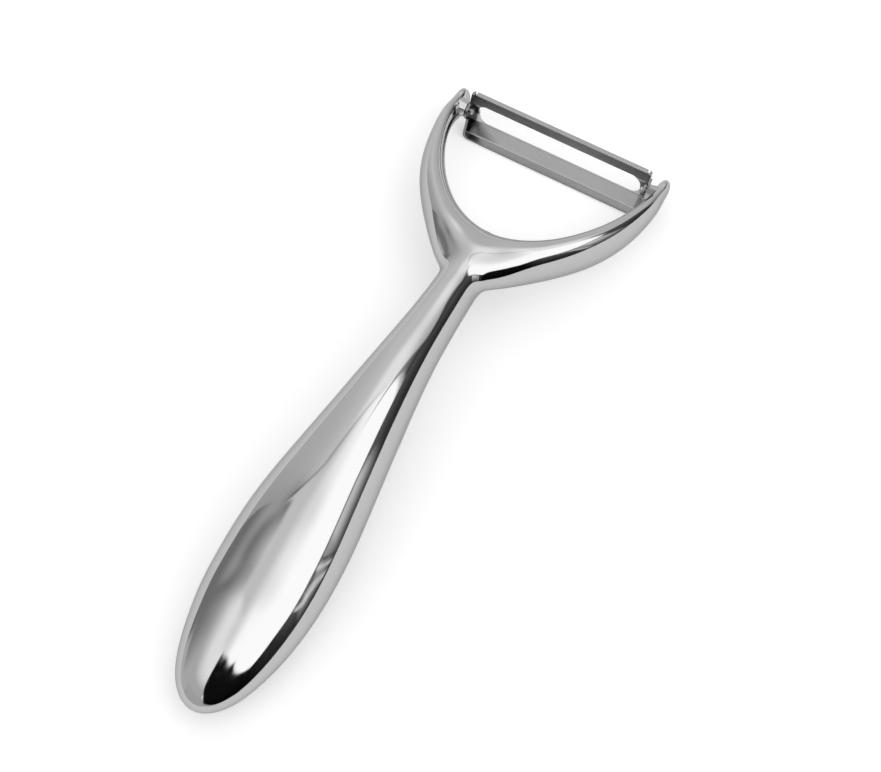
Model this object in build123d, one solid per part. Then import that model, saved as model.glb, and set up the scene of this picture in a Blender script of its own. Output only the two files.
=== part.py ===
from build123d import *

import os
from math import cos, hypot, radians, sin

# Y-shaped vegetable peeler, in millimetres.
# +X runs from the butt of the handle to the tips of the arms, +Z is up from the table,
# and the part is the same on both sides of the XZ plane.
# It lies as it does on a table: on the belly of the handle and the rear edge of the blade.

# Handle: a smooth swelling bar, oval all along
handle_length = 115.6
handle_width = 25.2
handle_height = 20.4
crest_height = 14.65
nose_length = 28.9
neck_overrun = 1.5

# Yoke: one bow that carries both arms
yoke_reach = 42.3
yoke_root_thickness = 13.8
yoke_height = 11.6
yoke_root_level = 13.85
tip_drop = 0.9

# Pivots of the blade
pivot_setback = 4.9
boss_reach = 3.1
boss_radius = 2.6
boss_taper_angle = 12.0
boss_sides = 8
pin_radius = 0.9
pin_reach = 0.7
pin_seat_depth = 2.4
pin_chamfer = 0.2
running_clearance = 0.06
seat_clearance = 0.01
side_clearance = 0.3

# Blade: a strip stamped to a shallow channel with a long slot
blade_length = 47.2
blade_thickness = 0.6
blade_lean_angle = 61.3
blade_front = 5.1
blade_rear = 7.15
channel_depth = 2.55
bend_radius = 0.9
bevel_width = 0.7
bevel_depth = 0.4
slot_end_margin = 2.1
slot_front = 2.45
slot_rear = 3.1
slot_corner_radius = 2.2
ear_radius = 2.2
lip_height = 0.4
lip_setback = 0.3
relief_width = 0.5
relief_depth = 0.7
rear_corner_radius = 1.8
front_corner_radius = 0.6
cut_overrun = 2.0

# Stations along the handle, from the yoke to where the nose starts, as shares of its sizes
station_shares = (0.05, 0.15, 0.27, 0.40, 0.52, 0.64, 0.75)
width_shares = (0.377, 0.418, 0.515, 0.673, 0.838, 0.978, 1.0)
height_shares = (0.549, 0.624, 0.697, 0.844, 0.940, 1.0, 0.904)
level_shares = (0.901, 0.932, 0.999, 0.956, 0.887, 0.776, 0.631)
neck_end_shares = (0.36, 0.42, 0.928)

# Stations along the nose: place, width, height and level as shares of those at its start
nose_shares = (
    (0.22, 0.963, 0.920, 0.918),
    (0.42, 0.885, 0.813, 0.832),
    (0.60, 0.778, 0.690, 0.774),
    (0.76, 0.640, 0.553, 0.730),
    (0.89, 0.456, 0.395, 0.695),
    (0.97, 0.243, 0.210, 0.671),
)
nose_tip_level_share = 0.66

# Stations along one arm from the middle of the bow: reach, half span, thickness, height and level
# as shares of the yoke's sizes, and how far the section leans in, in degrees
arm_shares = (
    (-0.018, 0.000, 1.000, 0.862, 1.000, 2.0),
    (0.047, 0.267, 0.790, 0.957, 0.960, -2.0),
    (0.165, 0.500, 0.572, 1.000, 0.881, 2.0),
    (0.320, 0.711, 0.464, 0.957, 0.791, 5.0),
    (0.488, 0.861, 0.371, 0.828, 0.704, 10.0),
    (0.663, 0.954, 0.290, 0.690, 0.621, 10.0),
    (0.824, 0.989, 0.254, 0.612, 0.513, 0.0),
    (0.916, 0.987, 0.225, 0.580, 0.436, -6.0),
)
tip_round_shares = ((0.38, 0.96), (0.71, 0.80), (0.92, 0.49))

# Places worked out from the sizes above
root_x = (handle_length - yoke_reach) / 2
pivot_x = root_x + yoke_reach - pivot_setback
ear_outer_y = blade_length / 2
boss_face_y = ear_outer_y + side_clearance
yoke_half_span = boss_face_y + boss_reach
pin_end_y = boss_face_y + pin_seat_depth


def blade_section():
    """Points of the blade's hollow side, along the chord from the front edge to the rear one.

    The first number runs along the chord from the pivot towards the front edge, the second
    is square to it, away from the handle.
    """
    front_flat = slot_front - bend_radius / 2
    web_share, fold_share, fold_depth_share = 0.31, 0.895, 0.57
    return [
        (blade_front, 0),
        (front_flat, 0),
        (-slot_rear * web_share, channel_depth * 0.86),
        (-slot_rear, channel_depth),
        (-blade_rear * fold_share, channel_depth * fold_depth_share),
        (-blade_rear, 0),
    ]


def offset_points(points, distance):
    """The points of an open outline moved sideways by a distance, with mitred corners."""
    moved = []
    for i, (x, y) in enumerate(points):
        before = points[max(i - 1, 0)]
        after = points[min(i + 1, len(points) - 1)]
        normals = []
        for a, b in ((before, (x, y)), ((x, y), after)):
            run = hypot(b[0] - a[0], b[1] - a[1])
            if run > 0:
                normals.append(((b[1] - a[1]) / run, -(b[0] - a[0]) / run))
        nx = sum(n[0] for n in normals) / len(normals)
        ny = sum(n[1] for n in normals) / len(normals)
        scale = distance / (nx * nx + ny * ny)
        moved.append((x + nx * scale, y + ny * scale))
    return moved


hollow_side = blade_section()
middle_line = offset_points(hollow_side, blade_thickness / 2)
outer_side = offset_points(hollow_side, blade_thickness)
lean = radians(blade_lean_angle)
pivot_z = -min(p * sin(lean) - q * cos(lean) for p, q in hollow_side + outer_side)

# The blade's own planes: u along the chord, v away from the handle, w across the peeler
chord = Vector(cos(lean), 0, sin(lean))
away = Vector(sin(lean), 0, -cos(lean))
pivot = Vector(pivot_x, 0, pivot_z)
section_plane = Plane(origin=pivot, x_dir=chord, z_dir=chord.cross(away))
face_plane = Plane(origin=pivot, x_dir=chord, z_dir=away)


def oval(plane, half_width, half_height, lean_in=0):
    """An oval section face on a plane, turned in it by some degrees."""
    return plane * Rot(0, 0, lean_in) * Ellipse(half_width, half_height)


def handle_stations():
    """Place, half width, half height and level of each section from the neck to the butt."""
    width_share, height_share, level_share = neck_end_shares
    stations = [(
        root_x + neck_overrun,
        handle_width / 2 * width_share,
        handle_height / 2 * height_share,
        crest_height * level_share,
    )]
    for share, wide, high, level in zip(station_shares, width_shares, height_shares, level_shares):
        stations.append((
            root_x - handle_length * share,
            handle_width / 2 * wide,
            handle_height / 2 * high,
            crest_height * level,
        ))
    nose_x, nose_half_width, nose_half_height, nose_level = stations[-1]
    nose_x = root_x - handle_length + nose_length
    for share, wide, high, level in nose_shares:
        stations.append((
            nose_x - nose_length * share,
            nose_half_width * wide,
            nose_half_height * high,
            nose_level * level,
        ))
    return stations


def make_handle():
    """The solid handle, lofted from the yoke to the rounded butt."""
    sections = []
    stations = handle_stations()
    for x, half_width, half_height, level in stations:
        plane = Plane(origin=(x, 0, level), x_dir=(0, 1, 0), z_dir=(-1, 0, 0))
        sections.append(oval(plane, half_width, half_height))
    belly_level = stations[len(station_shares)][3]
    tip = Vertex(root_x - handle_length, 0, belly_level * nose_tip_level_share)
    return loft(sections + [tip])


def arm_stations():
    """Centre, half thickness, half height and lean of each section of one arm, then its tip."""
    stations = []
    for reach, span, thick, high, level, lean_in in arm_shares:
        centre = Vector(root_x + yoke_reach * reach, yoke_half_span * span, yoke_root_level * level)
        stations.append((centre, yoke_root_thickness / 2 * thick, yoke_height / 2 * high, lean_in))
    last, half_thickness, half_height, lean_in = stations[-1]
    tip = Vector(root_x + yoke_reach, last.Y, pivot_z - tip_drop)
    for share, size in tip_round_shares:
        stations.append((last + (tip - last) * share, half_thickness * size, half_height * size, lean_in))
    return stations, tip


def mirrored(place):
    """The same place on the other side of the peeler."""
    return Vector(place.X, -place.Y, place.Z)


def make_yoke():
    """The bow: both arms and the web between them in one loft."""
    one_side, tip = arm_stations()
    other_side = [(mirrored(centre), *sizes) for centre, *sizes in one_side[1:]]
    stations = other_side[::-1] + one_side
    places = [mirrored(tip)] + [station[0] for station in stations] + [tip]
    sections = [Vertex(*mirrored(tip))]
    for i, (centre, *sizes) in enumerate(stations, start=1):
        run = places[i + 1] - places[i - 1]
        along = Vector(run.X, run.Y, 0)
        plane = Plane(origin=centre, x_dir=Vector(run.Y, -run.X, 0), z_dir=along)
        sections.append(oval(plane, *sizes))
    return loft(sections + [Vertex(*tip)])


def make_casting():
    """Handle, yoke and the two bosses that hold the pins, cast in one piece."""
    bosses = []
    bores = []
    for side in (1, -1):
        start = Plane(origin=(pivot_x, side * yoke_half_span, pivot_z), x_dir=(1, 0, 0), z_dir=(0, -side, 0))
        outline = start * RegularPolygon(boss_radius, boss_sides)
        bosses.append(extrude(outline, boss_reach, taper=boss_taper_angle))
        face = Plane(origin=(pivot_x, side * boss_face_y, pivot_z), x_dir=(1, 0, 0), z_dir=(0, side, 0))
        bores.append(extrude(face * Circle(pin_radius + seat_clearance), pin_seat_depth))
    return make_yoke() + bosses - bores + make_handle()


def make_pin(side):
    """A plain pin that stands in the boss of one arm and reaches through the blade's ear."""
    inner_y = ear_outer_y - blade_thickness - pin_reach
    start = Plane(origin=(pivot_x, side * inner_y, pivot_z), x_dir=(1, 0, 0), z_dir=(0, side, 0))
    pin = extrude(start * Circle(pin_radius), pin_end_y - inner_y)
    inner_rim = pin.edges().sort_by(Axis.Y)[0 if side > 0 else -1]
    return chamfer(inner_rim, pin_chamfer)


def make_strip():
    """The bent strip of the blade, before its corners and its slot are cut."""
    section = trace(FilletPolyline(*middle_line, radius=bend_radius), blade_thickness)
    strip = extrude(section_plane * section, blade_length / 2, both=True)
    ground = Polyline(
        (blade_front - bevel_width, 0),
        (blade_front, bevel_depth),
        (blade_front + cut_overrun, bevel_depth),
        (blade_front + cut_overrun, -cut_overrun),
        (blade_front - bevel_width, -cut_overrun),
        close=True,
    )
    return strip - extrude(section_plane * make_face(ground), blade_length, both=True)


def blade_blank():
    """The blade's outline seen square to its chord, with its four corners rounded."""
    rear_reach = blade_rear + blade_thickness
    blank = Pos(blade_front / 2 - rear_reach / 2, 0) * Rectangle(blade_front + rear_reach, blade_length)
    blank = fillet(blank.vertices().sort_by(Axis.X)[:2], rear_corner_radius)
    return fillet(blank.vertices().sort_by(Axis.X)[-2:], front_corner_radius)


def make_ear(side):
    """The folded tab of one end: a round ear about the pivot and a low lip beside the front edge."""
    inner_face = pivot + Vector(0, side * (ear_outer_y - blade_thickness), 0)
    start = Plane(origin=inner_face, x_dir=chord, z_dir=(0, side, 0))
    lip_front = blade_front - lip_setback
    lip_rise = lip_height + blade_thickness
    lip = Pos(lip_front / 2, side * (blade_thickness / 2 - lip_height / 2)) * Rectangle(lip_front, lip_rise)
    lip = fillet(lip.vertices().group_by(Axis.X)[-1].sort_by(Axis.Y)[0 if side > 0 else -1], lip_height)
    stem = Pos(0, side * channel_depth / 2) * Rectangle(2 * ear_radius, channel_depth)
    return extrude(start * (Circle(ear_radius) + stem + lip), blade_thickness)


def make_blade():
    """The stamped blade: a shallow tray with a long slot, a ground front edge and folded ears."""
    blank = blade_blank()
    hollow = make_face(Polyline(*hollow_side[1:], close=True))
    rim = extrude(face_plane * (blank - offset(blank, -blade_thickness)), blade_rear, both=True)
    walls = extrude(section_plane * hollow, blade_length / 2, both=True) & rim
    blade = (make_strip() & extrude(face_plane * blank, blade_rear, both=True)) + walls
    slot_width = slot_front + slot_rear
    slot_length = blade_length - 2 * slot_end_margin
    slot = RectangleRounded(slot_width, slot_length, slot_corner_radius)
    slot = Pos(slot_front - slot_width / 2, 0) * slot
    blade -= extrude(face_plane * slot, blade_rear, both=True)
    for side in (1, -1):
        blade += make_ear(side)
        hole = Plane(origin=pivot, x_dir=chord, z_dir=(0, side, 0)) * Circle(pin_radius + running_clearance)
        blade -= extrude(hole, blade_length)
        relief_y = side * (ear_outer_y - blade_thickness - relief_width / 2)
        relief = Pos(blade_front - relief_depth / 2 + cut_overrun / 2, relief_y) * Rectangle(
            relief_depth + cut_overrun, relief_width
        )
        blade -= extrude(face_plane * relief, cut_overrun, both=True)
    return blade


def main():
    os.makedirs("parts", exist_ok=True)
    export_step(make_casting(), "parts/casting.step")
    export_step(make_blade(), "parts/blade.step")
    export_step(make_pin(1), "parts/pivot_pin_left.step")
    export_step(make_pin(-1), "parts/pivot_pin_right.step")


main()
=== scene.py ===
from math import cos, pi, radians, sin, tan

import bmesh
import bpy
import numpy as np
from mathutils import Matrix, Vector


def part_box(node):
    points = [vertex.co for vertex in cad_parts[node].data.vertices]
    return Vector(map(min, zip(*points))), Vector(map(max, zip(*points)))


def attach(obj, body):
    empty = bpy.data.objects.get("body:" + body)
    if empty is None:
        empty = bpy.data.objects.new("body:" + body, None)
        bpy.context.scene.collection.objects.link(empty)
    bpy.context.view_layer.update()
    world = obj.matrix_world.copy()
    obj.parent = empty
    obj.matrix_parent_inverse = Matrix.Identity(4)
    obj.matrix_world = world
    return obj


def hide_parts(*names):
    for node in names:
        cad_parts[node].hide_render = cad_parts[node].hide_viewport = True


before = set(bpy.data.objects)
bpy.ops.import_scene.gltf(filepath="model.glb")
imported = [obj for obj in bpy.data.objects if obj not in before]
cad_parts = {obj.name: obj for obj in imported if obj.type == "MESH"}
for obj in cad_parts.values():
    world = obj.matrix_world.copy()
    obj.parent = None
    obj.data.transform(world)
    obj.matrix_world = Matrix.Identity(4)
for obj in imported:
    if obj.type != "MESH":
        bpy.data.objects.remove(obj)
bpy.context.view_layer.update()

# Lengths are in millimetres, as in the part's source, and angles in degrees. MM turns lengths into metres.
MM = 0.001

# Driving sizes of the casting, the same as in the part's source
handle_length = 115.6
handle_width = 25.2
handle_height = 20.4
crest_height = 14.65
nose_length = 28.9
neck_overrun = 1.5
yoke_reach = 42.3
yoke_root_thickness = 13.8
yoke_height = 11.6
yoke_root_level = 13.85
tip_drop = 0.9
pivot_setback = 4.9
boss_reach = 3.1
boss_radius = 2.6
boss_taper_angle = 12.0
boss_sides = 8
side_clearance = 0.3

# Stations along the handle and along one arm, as shares of those sizes
station_shares = (0.05, 0.15, 0.27, 0.40, 0.52, 0.64, 0.75)
width_shares = (0.377, 0.418, 0.515, 0.673, 0.838, 0.978, 1.0)
height_shares = (0.549, 0.624, 0.697, 0.844, 0.940, 1.0, 0.904)
level_shares = (0.901, 0.932, 0.999, 0.956, 0.887, 0.776, 0.631)
neck_end_shares = (0.36, 0.42, 0.928)
nose_shares = (
    (0.22, 0.963, 0.920, 0.918),
    (0.42, 0.885, 0.813, 0.832),
    (0.60, 0.778, 0.690, 0.774),
    (0.76, 0.640, 0.553, 0.730),
    (0.89, 0.456, 0.395, 0.695),
    (0.97, 0.243, 0.210, 0.671),
)
nose_tip_level_share = 0.66
arm_shares = (
    (-0.018, 0.000, 1.000, 0.862, 1.000, 2.0),
    (0.047, 0.267, 0.790, 0.957, 0.960, -2.0),
    (0.165, 0.500, 0.572, 1.000, 0.881, 2.0),
    (0.320, 0.711, 0.464, 0.957, 0.791, 5.0),
    (0.488, 0.861, 0.371, 0.828, 0.704, 10.0),
    (0.663, 0.954, 0.290, 0.690, 0.621, 10.0),
    (0.824, 0.989, 0.254, 0.612, 0.513, 0.0),
    (0.916, 0.987, 0.225, 0.580, 0.436, -6.0),
)
tip_round_shares = ((0.38, 0.96), (0.71, 0.80), (0.92, 0.49))

# Softened places of the casting, where the part's source has creases. The handle ends inside the bow in
# a rounded cap as long as this many overruns.
blend_radius = 3.6
cap_overruns = 3
boss_edge_radius = 0.12
boss_edge_segments = 3

# The blade's zones, measured along its chord from the line of the pivots. Each pair is where the soft
# edge of a zone starts and ends. The tray's ends are measured along Y from the middle. The front bar,
# the rear fold and the tray's ends get painted shade: a darker base colour for the shadow they mirror.
blade_lean_angle = 61.3
ground_bevel = (4.35, 4.45)
front_bar = (1.6, 2.2)
rear_fold = (-6.5, -6.1)
tray_end = (21.4, 22.2)
hatch_pitch = 0.55

# Finish of the metals and the table: base colours, and tints at grazing angles. Noise has a scale and a
# detail, a roughness goes from its third value to its fourth between two noise values, and a bump has a
# strength and a depth. The stains' two multiply the brushed lines' roughness.
plating_color = (0.485, 0.485, 0.49, 1)
plating_tint = (0.58, 0.58, 0.59, 1)
hairlines = ((60, 1500, 1500), 3.0)
hairline_roughness = (0.35, 0.75, 0.04, 0.09)
polishing_waves = ((110, 110, 110), 1.0)
polishing_bump = (0.5, 0.02)
sheet_color = (0.5, 0.5, 0.5, 1)
sheet_tint = (0.6, 0.6, 0.6, 1)
brushed_lines = ((9000, 250, 9000), 2.0)
brushed_roughness = (0.3, 0.7, 0.15, 0.24)
stains = ((160, 90, 160), 3.0)
stain_factor = (0.35, 0.7, 0.85, 1.25)
sheet_bump = (0.35, 0.004)
# The blade's base colours: the floor of the tray, the painted shade on the front bar, the rear fold and the
# ends in place of the shadow that they mirror, and the ground bevel with the tone of its grinding marks
tray_tone = 0.5
painted_shade_tone = 0.24
bevel_tone = 0.34
hatch_tone = 0.07
hatch_height = 3.0
bevel_roughness = 0.08
table_color = (0.72, 0.72, 0.72, 1)
table_roughness = 0.9
table_glow = 0.35
white = (1, 1, 1, 1)

# It starts as rough rings that stop short of the ends, and its points are evened out and drawn onto
# the shape in turns.
grid = 0.5
ring_points = 64
handle_rings = 120
bow_rings = 240
handle_end_gap = 0.1
bow_end_gap = 0.05
cap_share = 0.9
settle_turns = 8
relaxed_turns = 6
relax_share = 0.5
first_refinements = 4
later_refinements = 2

# Fineness of the search for the nearest place along the bow, in steps that stay stable, and of slopes
bow_samples = 801
chunk = 5000
probe = 0.01
tiny = 1e-4
stable_share = 0.2
longest_step = 1.0

# The room, in metres
floor_half = 1.4
dome_radius = 2.0
dome_floor = -0.1
dome_segments = (96, 48)

# The camera, solved from the photo: the image's right and the line of sight, its place and its focal length
# in pixels
camera_right = (0.50366, -0.86336, -0.03047)
camera_sight = (0.3665, 0.24548, -0.89745)
camera_place = (-120.55, -93.27, 320.53)
focal_length = 1601.65
image_width = 881
sensor_width = 36.0
clip_start = 0.01

# Places read from the frame
_, blade_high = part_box("blade")
root_x = (handle_length - yoke_reach) / 2
butt_x = root_x - handle_length
pivot_x = root_x + yoke_reach - pivot_setback
pin_low, pin_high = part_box("pivot_pin_left")
pivot_z = (pin_low.z + pin_high.z) / 2 / MM
boss_face_y = blade_high.y / MM + side_clearance
yoke_half_span = boss_face_y + boss_reach


class Curve:
    """A smooth curve through points at given places: a natural cubic spline, straight beyond its ends."""

    def __init__(self, places, values):
        self.x = np.array(places, float)
        self.y = np.array(values, float)
        count = len(self.x)
        gap = np.diff(self.x)
        matrix = np.eye(count)
        right = np.zeros(self.y.shape)
        for i in range(1, count - 1):
            matrix[i, i - 1:i + 2] = gap[i - 1], 2 * (gap[i - 1] + gap[i]), gap[i]
            rise = (self.y[i + 1] - self.y[i]) / gap[i] - (self.y[i] - self.y[i - 1]) / gap[i - 1]
            right[i] = 6 * rise
        self.bend = np.linalg.solve(matrix, right)

    def parts(self, t):
        inside = np.clip(t, self.x[0], self.x[-1])
        i = np.clip(np.searchsorted(self.x, inside) - 1, 0, len(self.x) - 2)
        gap = self.x[i + 1] - self.x[i]
        a = (self.x[i + 1] - inside) / gap
        b = (inside - self.x[i]) / gap
        beyond = t - inside
        if self.y.ndim == 2:
            gap, a, b, beyond = (v[:, None] for v in (gap, a, b, beyond))
        return i, gap, a, b, beyond

    def value(self, t):
        i, gap, a, b, beyond = self.parts(t)
        cubic = (a ** 3 - a) * self.bend[i] + (b ** 3 - b) * self.bend[i + 1]
        return a * self.y[i] + b * self.y[i + 1] + cubic * gap * gap / 6 + self.slope(t) * beyond

    def slope(self, t):
        i, gap, a, b, _ = self.parts(t)
        cubic = (3 * b * b - 1) * self.bend[i + 1] - (3 * a * a - 1) * self.bend[i]
        return (self.y[i + 1] - self.y[i]) / gap + cubic * gap / 6

    def second(self, t):
        i, _, a, b, _ = self.parts(t)
        return a * self.bend[i] + b * self.bend[i + 1]


def handle_stations():
    """Place, half width, half height and level of each section from the butt to the neck."""
    wide, high, level = neck_end_shares
    neck = (root_x + neck_overrun, handle_width / 2 * wide, handle_height / 2 * high, crest_height * level)
    stations = [neck]
    for share, wide, high, level in zip(station_shares, width_shares, height_shares, level_shares):
        stations.append((
            root_x - handle_length * share,
            handle_width / 2 * wide,
            handle_height / 2 * high,
            crest_height * level,
        ))
    _, nose_wide, nose_high, nose_level = stations[-1]
    for share, wide, high, level in nose_shares:
        stations.append((
            butt_x + nose_length * (1 - share),
            nose_wide * wide,
            nose_high * high,
            nose_level * level,
        ))
    stations.append((butt_x, 0, 0, nose_level * nose_tip_level_share))
    return np.array(stations[::-1])


def arm_stations():
    """Centre, half thickness, half height and lean of each section, from the bow's middle to one tip."""
    stations = []
    for reach, span, thick, high, level, lean in arm_shares:
        stations.append((
            root_x + yoke_reach * reach,
            yoke_half_span * span,
            yoke_root_level * level,
            yoke_root_thickness / 2 * thick,
            yoke_height / 2 * high,
            radians(lean),
        ))
    last = np.array(stations[-1])
    tip = np.array((root_x + yoke_reach, last[1], pivot_z - tip_drop, 0, 0, last[5]))
    for share, size in tip_round_shares:
        station = last + (tip - last) * share
        station[3:5] = last[3:5] * size
        stations.append(tuple(station))
    stations.append(tuple(tip))
    return np.array(stations)


def squareness(half_width, half_height):
    """Squared ratio of width to height along a row of sections whose last one is a point."""
    ratio = np.ones(len(half_width))
    real = half_height > 0
    ratio[real] = (half_width[real] / half_height[real]) ** 2
    return ratio


class Handle:
    """The handle as a function of place: below zero inside, above zero outside."""

    def __init__(self):
        x, wide, high, level = handle_stations().T
        ratio = squareness(wide, high)
        ratio[0] = ratio[1]
        self.area = Curve(x, wide * wide)
        self.ratio = Curve(x, ratio)
        self.level = Curve(x, level)
        self.end = x[-1]
        self.cap_start = root_x - neck_overrun
        self.cap_length = cap_overruns * neck_overrun

    def distance(self, points):
        x, y, z = points.T
        held = np.minimum(x, self.end)
        cap = 1 - (np.maximum(x - self.cap_start, 0) / self.cap_length) ** 2
        ratio = self.ratio.value(held)
        rise = z - self.level.value(x)
        value = y * y + rise * rise * ratio - self.area.value(held) * cap
        steep = np.sqrt(4 * (y * y + (rise * ratio) ** 2) + self.area.slope(x) ** 2 + tiny)
        return value / steep


class Bow:
    """Both arms and the web between them, as a function of place along the bow's centre line."""

    def __init__(self):
        stations = arm_stations()
        x, y, level, thick, high, lean = np.vstack((stations[:0:-1] * (1, -1, 1, 1, 1, 1), stations)).T
        along = np.concatenate(((0,), np.cumsum(np.hypot(np.diff(x), np.diff(y)))))
        along -= along[-1] / 2
        ratio = squareness(thick, high)
        ratio[0] = ratio[1]
        ratio[-1] = ratio[-2]
        self.centre = Curve(along, np.column_stack((x, y)))
        self.level = Curve(along, level)
        self.area = Curve(along, thick * thick)
        self.ratio = Curve(along, ratio)
        self.lean = Curve(along, lean)
        self.samples = np.linspace(along[0], along[-1], bow_samples)

    def nearest_sample(self, points):
        line = self.centre.value(self.samples)
        best = np.empty(len(points))
        for start in range(0, len(points), chunk):
            flat = points[start:start + chunk, None, :2] - line
            best[start:start + chunk] = self.samples[(flat * flat).sum(2).argmin(1)]
        return best

    def refine(self, points, along, steps):
        """Moves each point's place along the line to where the line is nearest to it."""
        for _ in range(steps):
            off = points[:, :2] - self.centre.value(along)
            slope = self.centre.slope(along)
            speed = (slope * slope).sum(1)
            curving = speed - (off * self.centre.second(along)).sum(1)
            # Newton's step, or a plain projection near the centre of a bend, where it would run off
            step = (off * slope).sum(1) / np.where(curving > speed * stable_share, curving, speed)
            along = along + np.clip(step, -longest_step, longest_step)
        return along

    def distance(self, points, along):
        off = points[:, :2] - self.centre.value(along)
        slope = self.centre.slope(along)
        inward = (off[:, 0] * slope[:, 1] - off[:, 1] * slope[:, 0]) / np.hypot(*slope.T)
        ratio = self.ratio.value(along)
        above = points[:, 2] - self.level.value(along)
        lean = self.lean.value(along)
        side = inward * np.cos(lean) - above * np.sin(lean)
        rise = inward * np.sin(lean) + above * np.cos(lean)
        value = side * side + rise * rise * ratio - self.area.value(along)
        steep = np.sqrt(4 * (side * side + (rise * ratio) ** 2) + self.area.slope(along) ** 2 + tiny)
        return value / steep


class Casting:
    """The handle and the bow, run together smoothly over the blend radius."""

    def __init__(self):
        self.handle = Handle()
        self.bow = Bow()

    def distance(self, points, along):
        near = self.handle.distance(points)
        other = self.bow.distance(points, self.bow.refine(points, along, later_refinements))
        shared = np.maximum(blend_radius - np.abs(near - other), 0) / blend_radius
        return np.minimum(near, other) - shared ** 3 * blend_radius / 6

    def gradient(self, points, along):
        result = np.empty_like(points)
        for axis in range(3):
            shift = np.zeros(3)
            shift[axis] = probe
            ahead = self.distance(points + shift, along)
            behind = self.distance(points - shift, along)
            result[:, axis] = (ahead - behind) / (2 * probe)
        return result


def add_object(name, data):
    added = bpy.data.objects.new(name, data)
    bpy.context.scene.collection.objects.link(added)
    return added


def ring_shell(bm, rings):
    """A closed shell through rings of the same number of points, each end closed by one face."""
    rows = [[bm.verts.new(point) for point in ring] for ring in rings]
    count = len(rows[0])
    for row, following in zip(rows, rows[1:]):
        for i in range(count):
            j = (i + 1) % count
            bm.faces.new((row[i], row[j], following[j], following[i]))
    bm.faces.new(rows[0][::-1])
    bm.faces.new(rows[-1])


def shell_mesh(name, shells):
    """One mesh of several ring shells, with its faces turned outward."""
    bm = bmesh.new()
    for rings in shells:
        ring_shell(bm, rings)
    bmesh.ops.recalc_face_normals(bm, faces=bm.faces)
    mesh = bpy.data.meshes.new(name)
    bm.to_mesh(mesh)
    bm.free()
    return mesh


def round_turns(count):
    """Angles evenly round a circle, in radians."""
    return [2 * pi * i / count for i in range(count)]


def handle_shell(handle):
    """Rough rings of the handle, in millimetres, from the butt into the bow."""
    rings = []
    last = handle.cap_start + handle.cap_length * cap_share
    for x in np.linspace(butt_x + handle_end_gap, last, handle_rings):
        at = np.array([min(x, handle.end)])
        cap = 1 - max(x - handle.cap_start, 0) ** 2 / handle.cap_length ** 2
        wide = (handle.area.value(at)[0] * cap) ** 0.5
        high = wide / handle.ratio.value(at)[0] ** 0.5
        level = handle.level.value(np.array([x]))[0]
        rings.append([(x, wide * cos(a), level + high * sin(a)) for a in round_turns(ring_points)])
    return rings


def bow_shell(bow):
    """Rough rings of the bow, in millimetres, from one tip to the other."""
    rings = []
    for s in np.linspace(bow.samples[0] + bow_end_gap, bow.samples[-1] - bow_end_gap, bow_rings):
        at = np.array([s])
        x, y = bow.centre.value(at)[0]
        run = Vector(bow.centre.slope(at)[0]).normalized()
        thick = bow.area.value(at)[0] ** 0.5
        high = thick / bow.ratio.value(at)[0] ** 0.5
        level = bow.level.value(at)[0]
        rings.append([
            (x + run.y * thick * cos(a), y - run.x * thick * cos(a), level + high * sin(a))
            for a in round_turns(ring_points)
        ])
    return rings


def mesh_arrays(mesh):
    """The mesh's points, and the pairs of points that its edges join."""
    points = np.empty(len(mesh.vertices) * 3)
    mesh.vertices.foreach_get("co", points)
    edges = np.empty(len(mesh.edges) * 2, int)
    mesh.edges.foreach_get("vertices", edges)
    return points.reshape(-1, 3), edges.reshape(-1, 2)


def settle(shape, points, edges):
    """Evens out the points and draws them onto the shape, inside the CAD node's box, with their normals."""
    degree = np.bincount(edges.ravel(), minlength=len(points))[:, None]
    along = shape.bow.refine(points, shape.bow.nearest_sample(points), first_refinements)
    for turn in range(settle_turns):
        if turn < relaxed_turns:
            total = np.zeros_like(points)
            np.add.at(total, edges[:, 0], points[edges[:, 1]])
            np.add.at(total, edges[:, 1], points[edges[:, 0]])
            points = points + (total / degree - points) * relax_share
        along = shape.bow.refine(points, along, later_refinements)
        slope = shape.gradient(points, along)
        value = shape.distance(points, along)
        step = slope * (value / (slope * slope).sum(1))[:, None]
        points = points - np.clip(step, -grid, grid)
    low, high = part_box("casting")
    points = np.clip(points, np.array(low) / MM, np.array(high) / MM)
    normals = shape.gradient(points, shape.bow.refine(points, along, later_refinements))
    return points, normals / np.linalg.norm(normals, axis=1)[:, None]


def make_casting():
    """The polished casting as one fine mesh that lies on the smooth shape."""
    shape = Casting()
    start = shell_mesh("casting_start", (handle_shell(shape.handle), bow_shell(shape.bow)))
    piece = add_object("casting_body", start)
    remesh = piece.modifiers.new("grid", "REMESH")
    remesh.mode = "VOXEL"
    remesh.voxel_size = grid
    evaluated = piece.evaluated_get(bpy.context.evaluated_depsgraph_get())
    mesh = bpy.data.meshes.new_from_object(evaluated)
    piece.modifiers.clear()
    piece.data = mesh
    mesh.name = "casting_body"
    points, normals = settle(shape, *mesh_arrays(mesh))
    mesh.vertices.foreach_set("co", (points * MM).ravel())
    mesh.update()
    for face in mesh.polygons:
        face.use_smooth = True
    mesh.normals_split_custom_set_from_vertices(normals.tolist())
    return piece


def make_boss(name, side):
    """The eight-sided tapered boss of one arm."""
    narrow = boss_radius - boss_reach * tan(radians(boss_taper_angle))
    rings = []
    for radius, y in ((boss_radius, yoke_half_span), (narrow, boss_face_y)):
        rings.append([
            Vector((pivot_x + radius * cos(a), side * y, pivot_z + radius * sin(a))) * MM
            for a in round_turns(boss_sides)
        ])
    piece = add_object(name, shell_mesh(name, (rings,)))
    edge = piece.modifiers.new("worn_edges", "BEVEL")
    edge.width = boss_edge_radius * MM
    edge.segments = boss_edge_segments
    return piece


def socket_set(node, **values):
    """Sets a node's input sockets by name, with _ for a space."""
    for name, value in values.items():
        node.inputs[name.replace("_", " ")].default_value = value


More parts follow.
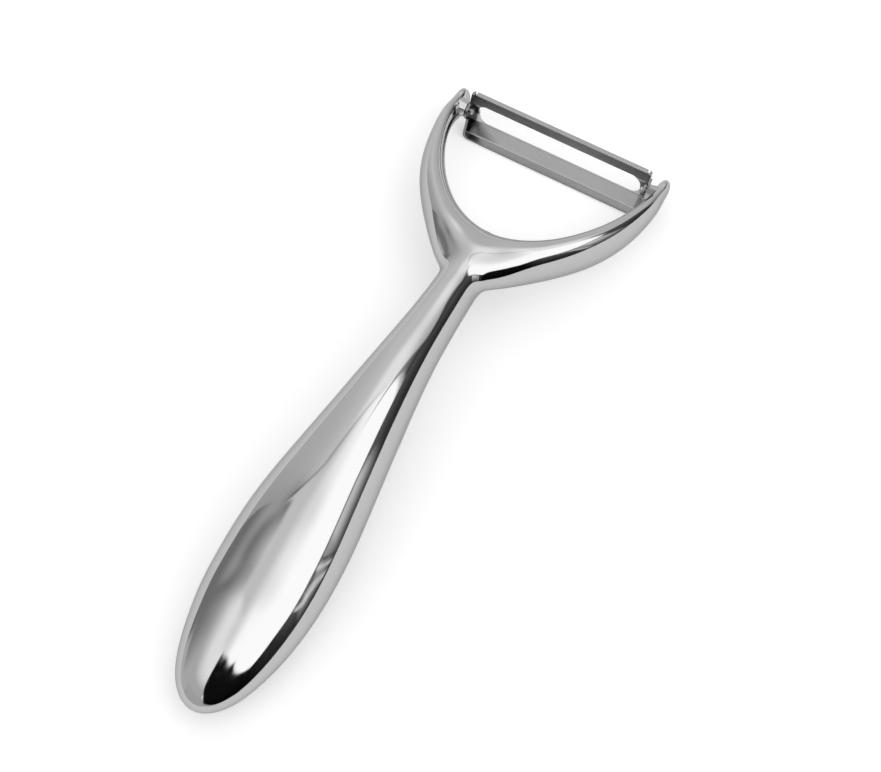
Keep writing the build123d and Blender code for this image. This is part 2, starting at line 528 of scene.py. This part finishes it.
class Shading:
    """Short ways to add maths, noise and bumps to a node tree."""

    def __init__(self, tree):
        self.nodes = tree.nodes
        self.links = tree.links

    def feed(self, socket, value):
        """Sets a number on the socket, or links another socket's value to it."""
        if isinstance(value, (int, float)):
            socket.default_value = value
        else:
            self.links.new(value, socket)

    def math(self, operation, *values):
        node = self.nodes.new("ShaderNodeMath")
        node.operation = operation
        for socket, value in zip(node.inputs, values):
            self.feed(socket, value)
        return node.outputs[0]

    def minus(self, first, second):
        return self.math("SUBTRACT", first, second)

    def times(self, first, second):
        return self.math("MULTIPLY", first, second)

    def times_plus(self, first, second, more):
        return self.math("MULTIPLY_ADD", first, second, more)

    def larger(self, first, second):
        return self.math("MAXIMUM", first, second)

    def ramp(self, value, low, high, start=0.0, end=1.0, kind="SMOOTHSTEP"):
        """From start to end while the value goes from low to high, and level beyond."""
        node = self.nodes.new("ShaderNodeMapRange")
        node.interpolation_type = kind
        for name, number in (("From Min", low), ("From Max", high), ("To Min", start), ("To Max", end)):
            self.feed(node.inputs[name], number)
        self.feed(node.inputs["Value"], value)
        return node.outputs["Result"]

    def fall(self, value, low, high):
        """One below low, nought above high."""
        return self.ramp(value, low, high, 1.0, 0.0)

    def window(self, value, low, high, edge):
        """One between low and high, nought outside, with soft edges."""
        rise = self.ramp(value, low - edge, low + edge)
        return self.times(rise, self.fall(value, high - edge, high + edge))

    def mix(self, first, second, share):
        """First where share is nought, second where it is one."""
        return self.times_plus(self.minus(second, first), share, first)

    def place(self):
        return self.nodes.new("ShaderNodeTexCoord").outputs["Object"]

    def split(self, vector):
        node = self.nodes.new("ShaderNodeSeparateXYZ")
        self.links.new(vector, node.inputs[0])
        return node.outputs

    def reach(self, vector, direction):
        """How far the vector goes in the direction."""
        node = self.nodes.new("ShaderNodeVectorMath")
        node.operation = "DOT_PRODUCT"
        node.inputs[1].default_value = direction
        self.links.new(vector, node.inputs[0])
        return node.outputs["Value"]

    def noise(self, place, scale, detail):
        """Noise with a scale per metre of its own along each axis."""
        stretch = self.nodes.new("ShaderNodeMapping")
        stretch.inputs["Scale"].default_value = scale
        self.links.new(place, stretch.inputs["Vector"])
        noise = self.nodes.new("ShaderNodeTexNoise")
        socket_set(noise, Scale=1.0, Detail=detail)
        self.links.new(stretch.outputs["Vector"], noise.inputs["Vector"])
        return noise.outputs["Fac"]

    def bump(self, height, strength, depth):
        """The normal of a surface that this height roughens by up to depth millimetres."""
        node = self.nodes.new("ShaderNodeBump")
        socket_set(node, Strength=strength, Distance=depth * MM)
        self.links.new(height, node.inputs["Height"])
        return node.outputs["Normal"]


def new_material(name, **values):
    """A material with its shader set to these values, and the ways to add to it."""
    material = bpy.data.materials.new(name)
    material.use_nodes = True
    shader = material.node_tree.nodes["Principled BSDF"]
    socket_set(shader, **values)
    return material, shader, Shading(material.node_tree)


def chrome_material():
    """Mirror-polished plating with fine hairlines along X and the slight waves left by polishing."""
    material, shader, maths = new_material(
        "polished_chrome", Metallic=1.0, Base_Color=plating_color, Specular_Tint=plating_tint)
    place = maths.place()
    rough = maths.ramp(maths.noise(place, *hairlines), *hairline_roughness, "LINEAR")
    maths.feed(shader.inputs["Roughness"], rough)
    normal = maths.bump(maths.noise(place, *polishing_waves), *polishing_bump)
    maths.feed(shader.inputs["Normal"], normal)
    return material


def in_metres(lengths):
    return [length * MM for length in lengths]


def steel_material(name, hatched_and_shaded):
    """Satin stainless sheet with fine lines along Y; if hatched, grinding marks across the bevel and painted
    shade.
    """
    material, shader, maths = new_material(
        name, Metallic=1.0, Base_Color=sheet_color, Specular_Tint=sheet_tint)
    place = maths.place()
    height = maths.noise(place, *brushed_lines)
    rough = maths.ramp(height, *brushed_roughness)
    rough = maths.times(rough, maths.ramp(maths.noise(place, *stains), *stain_factor))
    if hatched_and_shaded:
        lean = radians(blade_lean_angle)
        along_chord = Vector((cos(lean), 0, sin(lean)))
        pivot_reach = along_chord.dot(Vector((pivot_x, 0, pivot_z))) * MM
        chord = maths.minus(maths.reach(place, along_chord), pivot_reach)
        y = maths.split(place)["Y"]
        bevel = maths.ramp(chord, *in_metres(ground_bevel))
        wave = maths.math("SINE", maths.times(y, 2 * pi / (hatch_pitch * MM)))
        wave = maths.times(wave, bevel)
        rough = maths.times_plus(bevel, bevel_roughness, rough)
        height = maths.times_plus(wave, hatch_height, height)
        # Painted shade: the front bar, the rear fold and the ends are darker than the floor of the tray, in
        # place of the shadow and dark sides that they mirror
        bar = maths.ramp(chord, *in_metres(front_bar))
        fold = maths.fall(chord, *in_metres(rear_fold))
        ends = maths.ramp(maths.math("ABSOLUTE", y), *in_metres(tray_end))
        tone_and_shade = maths.mix(tray_tone, painted_shade_tone, maths.larger(bar, maths.larger(fold, ends)))
        tone_and_shade = maths.mix(tone_and_shade, maths.times_plus(wave, hatch_tone, bevel_tone), bevel)
        maths.feed(shader.inputs["Base Color"], tone_and_shade)
    maths.feed(shader.inputs["Roughness"], rough)
    maths.feed(shader.inputs["Normal"], maths.bump(height, *sheet_bump))
    return material


def dress(piece, material):
    """Makes this the piece's only material."""
    piece.data.materials.clear()
    piece.data.materials.append(material)


chrome = chrome_material()
blade_steel = steel_material("brushed_blade_steel", True)
pin_steel = steel_material("drawn_pin_steel", False)

body = make_casting()
dress(body, chrome)
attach(body, "handle")
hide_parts("casting")
for name, side in (("casting_boss_left", 1), ("casting_boss_right", -1)):
    boss = make_boss(name, side)
    dress(boss, chrome)
    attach(boss, "handle")
for name, steel in (("blade", blade_steel), ("pivot_pin_left", pin_steel), ("pivot_pin_right", pin_steel)):
    dress(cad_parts[name], steel)


def make_floor():
    """A white table, which glows a little where the camera or the metal sees it."""
    mesh = bpy.data.meshes.new("floor")
    corners = [(x * floor_half, y * floor_half, 0) for x, y in ((-1, -1), (1, -1), (1, 1), (-1, 1))]
    mesh.from_pydata(corners, [], [(0, 1, 2, 3)])
    floor = add_object("floor", mesh)
    material, shader, maths = new_material(
        "white_table", Roughness=table_roughness, Base_Color=table_color, Emission_Color=white)
    seen = maths.nodes.new("ShaderNodeLightPath").outputs
    directly = maths.larger(seen["Is Camera Ray"], seen["Is Glossy Ray"])
    directly = maths.larger(directly, seen["Is Transmission Ray"])
    maths.feed(shader.inputs["Emission Strength"], maths.times(directly, table_glow))
    dress(floor, material)


class Studio(Shading):
    """How bright the studio is by direction, which is what the polished metal mirrors.

    Azimuth counts from +X towards +Y. Turn is the same angle counted from -Y, so that its jump isn't on
    the dark side. Both are in degrees, as elevation is. Two numbers are where a change starts and ends,
    and four are those two and the values at both. Three are where a window starts and ends and half the
    width of its soft edges.
    """

    # Large soft light overhead, weaker towards the far side
    overhead = (58, 84, 1.97, 1.38)
    overhead_far = 1.03
    far_side = (-0.1 * dome_radius, 0.2 * dome_radius)

    # Pale walls of the far side, darker towards the left, where another wall stands
    near_wall = (38, 58, 0.84, 1.5)
    far_wall = (45, 95, 1.0, 0.6)
    far_wall_azimuth = (10, 48)
    low_right = 0.16
    low_right_elevation = (12, 36, 0.68, 0.0)
    low_right_turn = (55, 100)
    shaded_share = 0.6
    shaded_azimuth = (68, 88)
    shaded_elevation = (40, 64)
    left_wall_azimuth = (97, 106)
    low_left = (104, 127, 0.3, 0.76)
    lowest_left = 0.78
    lowest_left_azimuth = (104, 110)
    lowest_left_elevation = (8, 16)
    high_left = (103, 140, 0.45, 1.45)
    high_left_elevation = (37, 55)
    left_top_azimuth = (86, 96)
    left_top_elevation = (59, 66)

    # Low part of the side that the butt points to
    low_back = 0.66
    low_back_wall = 0.68
    low_back_elevation = (20, 34)
    low_back_turn = (-130, -48, 4)

    # The walls end along an arc, by its angle from its centre
    arc_centre = (-155, 30)
    arc_edge = (79, 81)
    arc_shift = (60, 86, 0.0, 2.5)
    arc_line = (78.4, 80.4, 0.8)
    arc_line_tone = 0.1
    arc_line_depth = (-10, 70, 0.26, 0.5)
    arc_line_start = (-36, -26)
    arc_line_end = (82, 94)

    # Dark stripe on the right that the line along the arc grows out of
    stripe_middle = (20, 62, -53, -36.5)
    stripe_half_width = (20, 60, 6.0, 1.8)
    stripe_edge = 1.2
    stripe_top = (60, 68)
    stripe_tone = (30, 58, 0.07, 0.6)

    # Dark side of the room below the soft light, paler in the middle
    dark = (-32, -6, 0.006, 0.11)
    dark_right = 0.1
    dark_right_turn = (25, 29)
    dark_rise = (5, 31, 0.45, 1.35)
    pale_rise = (1, 27, 0.12, 1.0)
    pale_turn = (0, 9, 0.6, 1.0)
    pale_window = (-6, 24, 1.2)
    pale_top = 0.15
    pale_top_elevation = (27, 28.5)
    pale_top_share = 0.8

    # Two thin slanting streaks of light in it, and a dark one beside them
    slant = 0.42
    slant_start = 1.8
    streaks = ((0.2, 1.5, 0.3), (3.0, 4.0, 0.3))
    streak_elevation = (5, 28, 3)
    streak_tone = 1.2
    shadow = (5.0, 6.2, 0.4)
    shadow_elevation = (3, 30, 3)
    shadow_tone = 0.08
    shadow_share = 0.8

    # Outline of the dark side: its top, which slopes down beyond one turn, its ends and its lower corner
    dark_top = (-88, -60, 60.5, 55)
    slope_turn = -60
    top_slope = 0.86
    lowest_top = 30.5
    dark_left = (5, 75, -80, -107)
    dark_edge = 1
    dark_end = (39, 42)
    corner_level = (-88, -55, 12, 0)
    corner_edge = 3
    corner_turn = (-45, -35)

    def __init__(self, tree):
        super().__init__(tree)
        self.coordinates = self.place()
        x, y, z = self.split(self.coordinates)
        self.y = y
        self.azimuth = self.degrees("ARCTAN2", y, x)
        self.turn = self.degrees("ARCTAN2", x, self.times(y, -1.0))
        flat = self.math("SQRT", self.math("ADD", self.times(x, x), self.times(y, y)))
        self.elevation = self.degrees("ARCTAN2", z, flat)

    def degrees(self, operation, *values):
        return self.math("DEGREES", self.math(operation, *values))

    def angle_from(self, azimuth, elevation):
        """The angle between here and this direction."""
        a, e = radians(azimuth), radians(elevation)
        aim = Vector((cos(e) * cos(a), cos(e) * sin(a), sin(e))) / dome_radius
        return self.degrees("ARCCOSINE", self.reach(self.coordinates, aim))

    def both(self, azimuth_share, elevation_share):
        """A share that needs both an azimuth and an elevation."""
        return self.times(azimuth_share, elevation_share)

    def walls(self):
        """The walls around, without the side that the butt points to."""
        azimuth, elevation = self.azimuth, self.elevation
        wall = self.mix(
            self.ramp(elevation, *self.near_wall),
            self.ramp(azimuth, *self.far_wall),
            self.ramp(azimuth, *self.far_wall_azimuth))
        right = self.both(
            self.fall(self.turn, *self.low_right_turn), self.ramp(elevation, *self.low_right_elevation))
        wall = self.mix(wall, self.low_right, right)
        shaded = self.both(
            self.ramp(azimuth, *self.shaded_azimuth), self.ramp(elevation, *self.shaded_elevation))
        wall = self.mix(wall, self.times(wall, self.shaded_share), shaded)
        lowest = self.both(
            self.ramp(azimuth, *self.lowest_left_azimuth), self.fall(elevation, *self.lowest_left_elevation))
        left = self.mix(self.ramp(azimuth, *self.low_left), self.lowest_left, lowest)
        high = self.ramp(azimuth, *self.high_left)
        left = self.mix(left, high, self.ramp(elevation, *self.high_left_elevation))
        return self.mix(wall, left, self.ramp(azimuth, *self.left_wall_azimuth))

    def lit_side(self):
        """The soft light, the walls below it, and the line and the stripe between them."""
        azimuth, elevation = self.azimuth, self.elevation
        light = self.mix(
            self.ramp(elevation, *self.overhead), self.overhead_far, self.ramp(self.y, *self.far_side))
        back = self.both(
            self.window(self.turn, *self.low_back_turn), self.fall(elevation, *self.low_back_elevation))
        light = self.mix(light, self.low_back, back)
        wall = self.mix(self.walls(), self.low_back_wall, back)
        arc = self.angle_from(*self.arc_centre)
        below_arc = self.ramp(self.math("ADD", arc, self.ramp(azimuth, *self.arc_shift)), *self.arc_edge)
        left_top = self.both(
            self.ramp(azimuth, *self.left_top_azimuth), self.fall(elevation, *self.left_top_elevation))
        light = self.mix(light, wall, self.larger(below_arc, left_top))
        line = self.times(self.window(arc, *self.arc_line), self.ramp(azimuth, *self.arc_line_depth))
        line = self.times(line, self.fall(azimuth, *self.arc_line_end))
        line = self.times(line, self.ramp(azimuth, *self.arc_line_start))
        light = self.mix(light, self.arc_line_tone, line)
        off = self.math("ABSOLUTE", self.minus(azimuth, self.ramp(elevation, *self.stripe_middle)))
        outside = self.minus(off, self.ramp(elevation, *self.stripe_half_width))
        stripe = self.both(
            self.fall(outside, -self.stripe_edge, self.stripe_edge), self.fall(elevation, *self.stripe_top))
        return self.mix(light, self.ramp(elevation, *self.stripe_tone), stripe)

    def dark_side(self):
        """The dark part of the room, with its paler middle and the slanting streaks in it."""
        turn, elevation = self.turn, self.elevation
        dark = self.ramp(turn, *self.dark)
        dark = self.mix(dark, self.dark_right, self.ramp(turn, *self.dark_right_turn))
        dark = self.times(dark, self.ramp(elevation, *self.dark_rise))
        pale = self.times(self.ramp(elevation, *self.pale_rise), self.ramp(turn, *self.pale_turn))
        top = self.times(self.ramp(elevation, *self.pale_top_elevation), self.pale_top_share)
        pale = self.mix(pale, self.pale_top, top)
        dark = self.mix(dark, pale, self.window(turn, *self.pale_window))
        slanting = self.times_plus(elevation, self.slant, self.minus(turn, self.slant_start))
        streaks = self.larger(*(self.window(slanting, *streak) for streak in self.streaks))
        streaks = self.both(streaks, self.window(elevation, *self.streak_elevation))
        dark = self.mix(dark, self.streak_tone, streaks)
        shadow = self.both(
            self.window(slanting, *self.shadow), self.window(elevation, *self.shadow_elevation))
        return self.mix(dark, self.shadow_tone, self.times(shadow, self.shadow_share))

    def dark_share(self):
        """One on the dark side, nought elsewhere."""
        turn, elevation = self.turn, self.elevation
        sloping = self.larger(self.minus(turn, self.slope_turn), 0.0)
        top = self.minus(self.ramp(turn, *self.dark_top), self.times(sloping, self.top_slope))
        above_top = self.minus(elevation, self.larger(top, self.lowest_top))
        share = self.fall(above_top, -self.dark_edge, self.dark_edge)
        past_left = self.minus(turn, self.ramp(elevation, *self.dark_left))
        share = self.times(share, self.ramp(past_left, -self.dark_edge, self.dark_edge))
        share = self.times(share, self.fall(turn, *self.dark_end))
        above_corner = self.minus(elevation, self.ramp(turn, *self.corner_level))
        above_corner = self.ramp(above_corner, -self.corner_edge, self.corner_edge)
        return self.times(share, self.larger(above_corner, self.ramp(turn, *self.corner_turn)))

    def brightness(self):
        return self.mix(self.lit_side(), self.dark_side(), self.dark_share())


def make_dome():
    """The studio around the peeler, a dome that lights it and that its metal mirrors."""
    bm = bmesh.new()
    around, upward = dome_segments
    bmesh.ops.create_uvsphere(bm, u_segments=around, v_segments=upward, radius=dome_radius)
    low = [v for v in bm.verts if v.co.z < dome_floor]
    bmesh.ops.delete(bm, geom=low, context="VERTS")
    mesh = bpy.data.meshes.new("studio_dome")
    bm.to_mesh(mesh)
    bm.free()
    dome = add_object("studio_dome", mesh)
    material = bpy.data.materials.new("studio_light")
    material.use_nodes = True
    material.cycles.emission_sampling = "NONE"
    tree = material.node_tree
    tree.nodes.remove(tree.nodes["Principled BSDF"])
    light = tree.nodes.new("ShaderNodeEmission")
    tree.links.new(Studio(tree).brightness(), light.inputs["Strength"])
    tree.links.new(light.outputs[0], tree.nodes["Material Output"].inputs["Surface"])
    dress(dome, material)
    dome.visible_camera = False


def make_camera():
    """The photo's camera, which looks down at the peeler on the table."""
    right = Vector(camera_right).normalized()
    sight = Vector(camera_sight).normalized()
    up = right.cross(sight)
    place = Vector(camera_place) * MM
    camera = add_object("camera", bpy.data.cameras.new("camera"))
    camera.matrix_world = Matrix((
        (right.x, up.x, -sight.x, place.x),
        (right.y, up.y, -sight.y, place.y),
        (right.z, up.z, -sight.z, place.z),
        (0, 0, 0, 1),
    ))
    camera.data.sensor_width = sensor_width
    camera.data.lens = sensor_width * focal_length / image_width
    camera.data.clip_start = clip_start
    return camera


make_floor()
make_dome()

# White behind the table, seen by the camera through the dome
world = bpy.data.worlds.new("studio")
world.use_nodes = True
socket_set(world.node_tree.nodes["Background"], Color=white)

scene = bpy.context.scene
scene.world = world
scene.camera = make_camera()
scene.view_settings.view_transform = "Standard"
